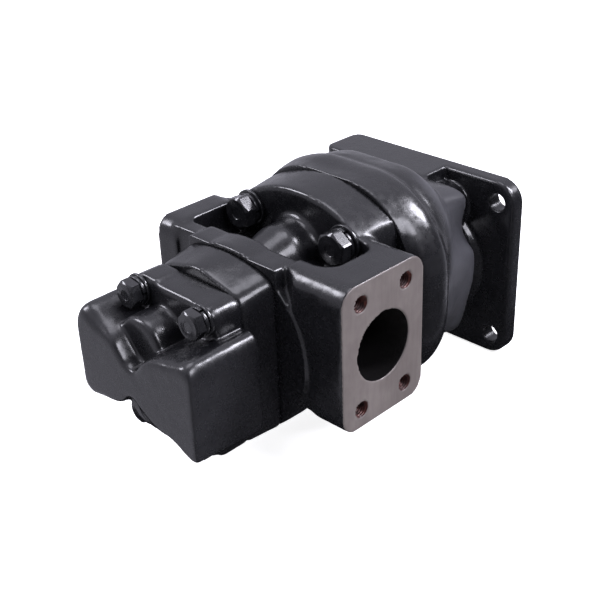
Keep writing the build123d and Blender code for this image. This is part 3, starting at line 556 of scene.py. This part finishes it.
def rubber(name):
    k = Nodes(name)
    k.link(k.mix(k.noise(160.0, 4.0), (0.012, 0.012, 0.012), (0.03, 0.03, 0.03)), k.b.inputs["Base Color"])
    k.link(k.span(k.noise(300.0, 3.0), 0.3, 0.7, 0.52, 0.7), k.b.inputs["Roughness"])
    k.bump(((k.noise(1400.0, 2.0), 0.02, 0.5),))
    return k.m


def fastener_paint(name):
    """Thinner black paint on plated bolts, rubbed a little in scattered patches."""
    k = Nodes(name)
    cloud = k.noise(90.0, 4.0, 0.6)
    wear = k.span(k.noise(200.0, 5.0, 0.7), 0.62, 0.76, 0.0, 0.35)
    base = k.mix(k.span(cloud, 0.35, 0.7, 0.0, 1.0), (0.0060, 0.0062, 0.0070), (0.0110, 0.0112, 0.0125))
    k.link(k.mix(wear, base, (0.040, 0.040, 0.042)), k.b.inputs["Base Color"])
    k.link(k.span(k.noise(300.0, 3.0), 0.3, 0.7, 0.17, 0.27), k.b.inputs["Roughness"])
    k.link(k.math("MULTIPLY", wear, 0.4), k.b.inputs["Metallic"])
    k.bump(((k.noise(240.0, 3.0), 0.09, 0.40), (k.noise(900.0, 2.0), 0.02, 0.35)))
    k.b.inputs["IOR"].default_value = 1.5
    k.b.inputs["Coat Weight"].default_value = 0.25
    k.b.inputs["Coat Roughness"].default_value = 0.08
    return k.m


def preservative(name):
    """Red-brown rust preventive left in the tapped holes."""
    k = Nodes(name)
    wet = k.noise(210.0, 4.0, 0.6)
    base = k.mix(k.span(wet, 0.38, 0.62, 0.0, 1.0), (0.072, 0.021, 0.016), (0.024, 0.006, 0.005))
    k.link(base, k.b.inputs["Base Color"])
    k.link(k.span(wet, 0.3, 0.7, 0.25, 0.55), k.b.inputs["Roughness"])
    k.b.inputs["Metallic"].default_value = 0.35
    k.bump(((k.noise(700.0, 3.0), 0.04, 0.5),))
    return k.m


M_FRONT = paint("paint_front_body", 1.5, bare_front, painted_neck_light)
M_MIDDLE = paint("paint_middle_casting", 1.0, bare_middle)
M_REAR = paint("paint_rear_housing", 0.9)
M_COVER = paint("paint_rear_cover", 0.55, bare_cover, painted_end_light)
M_BOLT = fastener_paint("painted_fastener")
M_STEEL = metal("ground_steel", (0.50, 0.50, 0.51), (0.60, 0.60, 0.61), 0.26)
M_SHAFT = metal("shaft_steel", (0.47, 0.47, 0.48), (0.58, 0.58, 0.59), 0.24, scratch=(0.12, 1.0, 1.0), spots=0.25)
M_SPRING = metal("phosphated_spring_steel", (0.10, 0.10, 0.105), (0.15, 0.15, 0.155), 0.42)
M_ALU = metal("bearing_aluminium", (0.66, 0.67, 0.69), (0.75, 0.75, 0.77), 0.34)
M_BUSH = metal("bearing_bronze", (0.46, 0.33, 0.18), (0.54, 0.40, 0.23), 0.32)
M_RUBBER = rubber("seal_rubber")
M_RED = preservative("hole_preservative")

# ------------------------------------------------------------------ castings
cast("front_housing", 1.2, 30,
     [plane_keep(0, X_JOINT, 3.0), lambda v: ramp(-3.0 - v[:, 0], 0.0, 3.0), lambda v: np.maximum(ramp(-50.0 - v[:, 0], 0.0, 22.0), 0.13)]
     + [bore_keep(0, c, 7.15, -13.6, 1.0) for c in FLANGE_HOLES],
     [bore_snap(0, c, 7.15, -13.2, 0.2) for c in FLANGE_HOLES]
     + [plane_snap(0, 0.0, 0.5), plane_snap(0, X_JOINT, 0.6), bore_snap(0, (0, 0), 63.5, 0.4, 11.2), plane_snap(0, 12.7, 0.5)],
     M_FRONT, ((0.34, 24.0, 1), (0.16, 9.0, 2), (0.07, 3.5, 3)))
cast("middle_casting", 1.2, 12,
     [plane_keep(0, X_JOINT, 2.5), plane_keep(0, X_R1, 1.8),
      lambda v: ramp(v[:, 1] - SUC_Y, 0.5, 2.5), lambda v: ramp(OUT_Y - v[:, 1], 0.5, 2.5),
      bore_keep(1, (SUC_X, SUC_Z), SUC_R, -100, -24), bore_keep(1, (OUT_X, OUT_Z), OUT_R, 29, 80)]
     + [bore_keep(1, c, 6.0, -100, -75) for c in SUC_HOLES] + [bore_keep(1, c, 5.0, 62, 80) for c in OUT_HOLES]
     + [disc_keep(0, c, 14.5, X_PLATE - 1.0, X_PLATE + 1.0) for c in FB],
     [bore_snap(1, (SUC_X, SUC_Z), SUC_R, -99.6, -25), bore_snap(1, (OUT_X, OUT_Z), OUT_R, 30, 79.6)]
     + [bore_snap(1, c, 6.0, -99.6, -76) for c in SUC_HOLES] + [bore_snap(1, c, 5.0, 63, 79.6) for c in OUT_HOLES]
     + [plane_snap(1, SUC_Y, 0.6), plane_snap(1, OUT_Y, 0.6), plane_snap(0, X_JOINT, 0.6), plane_snap(0, X_R1, 0.6)],
     M_MIDDLE, ((0.22, 18.0, 4), (0.09, 6.0, 5)))
cast("rear_gear_housing", 0.95, 7,
     [plane_keep(0, X_R1, 1.6), plane_keep(0, X_R2, 1.6)],
     [plane_snap(0, X_R1, 0.5), plane_snap(0, X_R2, 0.5)],
     M_REAR, ((0.12, 15.0, 6), (0.05, 5.0, 7)))
cast("rear_cover", 0.95, 16,
     [plane_keep(0, X_R2, 1.6), bore_keep(1, (RO_X, RO_Z), RO_R, 38, 58)]
     + [disc_keep(0, c, 11.6, X_SEAT - 1.0, X_SEAT + 1.0) for c in RB],
     [bore_snap(1, (RO_X, RO_Z), RO_R, 39, 57.4), plane_snap(0, X_R2, 0.5)],
     M_COVER, ((0.20, 16.0, 8), (0.08, 5.5, 9)))

# ------------------------------------------------------------------ fasteners
FB_TURN, RB_TURN = (37, 19, 41, 33), (8, 14, 10, 32)
parts = [hex_head(y, z, X_PLATE - 6.0, 9.3, 12.7, FB_TURN[i], 6.95, X_JOINT + 29.8, 5.4) for i, (y, z) in enumerate(FB)]
me = build("front_bolt_set", *merged(parts)); split_edges(me, 32)
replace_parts(add_piece("front_bolt_set", me, M_BOLT), "front_bolts")
parts = [hex_head(y, z, X_SEAT - 5.3, 7.6, 10.4, RB_TURN[i], 5.95, X_R1 + 15.8, 4.6) for i, (y, z) in enumerate(RB)]
me = build("rear_bolt_set", *merged(parts)); split_edges(me, 32)
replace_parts(add_piece("rear_bolt_set", me, M_BOLT), "rear_bolts")
for name, node, at, s0, s1, r0, r1, b in (("front_plain_washers", "front_bolt_flat_washers", FB, X_PLATE - 2.5, X_PLATE, 7.4, 13.4, 0.5),
                                          ("rear_plain_washers", "rear_bolt_flat_washers", RB, X_SEAT - 2.3, X_SEAT, 6.3, 11.0, 0.45)):
    me = build(name, *merged([lathe(ring_profile(s0, s1, r0, r1, b), c) for c in at])); split_edges(me, 50)
    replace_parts(add_piece(name, me, M_BOLT), node)
for name, node, at, s0, s1, r0, r1, b in (("front_split_washers", "front_bolt_spring_washers", FB, X_PLATE - 5.7, X_PLATE - 2.8, 7.2, 11.6, 0.4),
                                          ("rear_split_washers", "rear_bolt_spring_washers", RB, X_SEAT - 5.05, X_SEAT - 2.55, 6.2, 10.0, 0.35)):
    me = build(name, *merged([lathe(ring_profile(s0, s1, r0, r1, b), c, arc=(118 + 31 * i, 118 + 31 * i + 350), drift=0.45)
                              for i, c in enumerate(at)])); split_edges(me, 50)
    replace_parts(add_piece(name, me, M_BOLT), node)

# ------------------------------------------------------------------ threads in the ports
me = build("suction_flange_threads", *merged([thread_sleeve(1, c, SUC_Y + 0.25, SUC_Y + 23.6, 6.0, 1.75, 0.85) for c in SUC_HOLES]))
add_piece("suction_flange_threads", me, M_RED)
me = build("delivery_flange_threads", *merged([thread_sleeve(1, c, OUT_Y - 0.25, OUT_Y - 16.6, 5.0, 1.5, 0.75) for c in OUT_HOLES]))
add_piece("delivery_flange_threads", me, M_RED)
me = build("rear_port_thread", *thread_sleeve(1, (RO_X, RO_Z), RO_Y - 0.7, RO_Y - 17.0, RO_R, 1.814, 1.0))
add_piece("rear_port_thread", me, M_STEEL)

# ------------------------------------------------------------------ finishes of the nodes kept as packed
KEPT = {"drive_shaft": M_SHAFT, "shaft_key": M_STEEL, "splined_coupling": M_STEEL, "rear_drive_gear": M_STEEL, "front_driven_gear": M_STEEL,
        "rear_driven_gear": M_STEEL, "front_dowels": M_STEEL, "rear_dowels": M_STEEL, "retaining_ring": M_SPRING,
        "front_bearing_block": M_ALU, "back_bearing_block": M_ALU, "rear_pressure_plates": M_ALU,
        "front_gear_bushes": M_BUSH, "rear_gear_bushes": M_BUSH, "shaft_bush": M_BUSH,
        "shaft_seal": M_RUBBER, "front_joint_seal": M_RUBBER, "rear_joint_seals": M_RUBBER}
for n, m in KEPT.items():
    NODE[n].data.materials.clear()
    NODE[n].data.materials.append(m)

# ------------------------------------------------------------------ floor and light
bm = bmesh.new()
bmesh.ops.create_grid(bm, x_segments=1, y_segments=1, size=4.0)
fm = bpy.data.meshes.new("floor")
bm.to_mesh(fm)
bm.free()
floor = bpy.data.objects.new("floor", fm)
bpy.context.scene.collection.objects.link(floor)
floor.location = (0, 0, CAD_BOX[0][2] - 0.0004)
k = Nodes("pale_floor")
k.link(k.mix(k.noise(0.8, 2.0), (0.86, 0.86, 0.86), (0.88, 0.88, 0.88)), k.b.inputs["Base Color"])
k.b.inputs["Roughness"].default_value = 0.9
k.b.inputs["Specular IOR Level"].default_value = 0.0
k.b.inputs["Emission Color"].default_value = (1, 1, 1, 1)
k.b.inputs["Emission Strength"].default_value = 0.84
fm.materials.append(k.m)
floor.visible_glossy = False

world = bpy.data.worlds.new("studio")
world.use_nodes = True
wt = world.node_tree
bg = wt.nodes["Background"]
tc = wt.nodes.new("ShaderNodeTexCoord")
sep = wt.nodes.new("ShaderNodeSeparateXYZ")
wt.links.new(tc.outputs["Generated"], sep.inputs[0])
side = wt.nodes.new("ShaderNodeMapRange")
side.interpolation_type = "SMOOTHSTEP"
for s, v in zip(side.inputs[1:5], (-0.60, 0.10, 0.08, 0.60)):
    s.default_value = v
wt.links.new(sep.outputs[1], side.inputs[0])
up = wt.nodes.new("ShaderNodeMapRange")
up.interpolation_type = "SMOOTHSTEP"
for s, v in zip(up.inputs[1:5], (0.35, 0.9, 0.0, 0.30)):
    s.default_value = v
wt.links.new(sep.outputs[2], up.inputs[0])
add = wt.nodes.new("ShaderNodeMath")
add.operation = "ADD"
wt.links.new(side.outputs[0], add.inputs[0])
wt.links.new(up.outputs[0], add.inputs[1])
wt.links.new(add.outputs[0], bg.inputs["Strength"])
bg.inputs["Color"].default_value = (0.97, 0.955, 1.10, 1.0)
bpy.context.scene.world = world


def softbox(name, direction, distance, size, power, target=(-0.15, 0.0, 0.02)):
    d = Vector(direction).normalized()
    l = bpy.data.lights.new(name, "AREA")
    l.shape = "RECTANGLE"
    l.size, l.size_y = size
    l.energy = power
    l.color = (0.98, 0.97, 1.08)
    o = bpy.data.objects.new(name, l)
    bpy.context.scene.collection.objects.link(o)
    o.location = Vector(target) + d * distance
    o.rotation_euler = (-d).to_track_quat("-Z", "Y").to_euler()


softbox("softbox_right_back", (0.60, -0.46, 0.66), 1.5, (0.38, 0.62), 24.0)
softbox("softbox_left_back", (-0.47, 0.63, 0.62), 1.5, (0.35, 0.7), 13.0)
softbox("softbox_key", (0.05, -0.80, 0.75), 1.6, (0.6, 0.6), 14.0)
softbox("softbox_top", (0.1, 0.15, 1.0), 1.5, (0.7, 0.7), 6.0)

# a dark card flush under the floor, seen only in reflections, where the part's own shadow would lie
bm = bmesh.new()
bmesh.ops.create_grid(bm, x_segments=1, y_segments=1, size=0.5)
cm = bpy.data.meshes.new("dark_card")
bm.to_mesh(cm)
bm.free()
card = bpy.data.objects.new("dark_card", cm)
bpy.context.scene.collection.objects.link(card)
card.location = (-0.14, -0.01, CAD_BOX[0][2] - 0.0016)
card.scale = (0.40, 0.23, 1.0)
k = Nodes("card_black")
k.link(k.mix(k.noise(3.0, 2.0), (0.006, 0.006, 0.007), (0.009, 0.009, 0.010)), k.b.inputs["Base Color"])
k.b.inputs["Roughness"].default_value = 0.95
k.b.inputs["Specular IOR Level"].default_value = 0.0
cm.materials.append(k.m)
card.visible_camera = False
card.visible_diffuse = False
card.visible_shadow = False
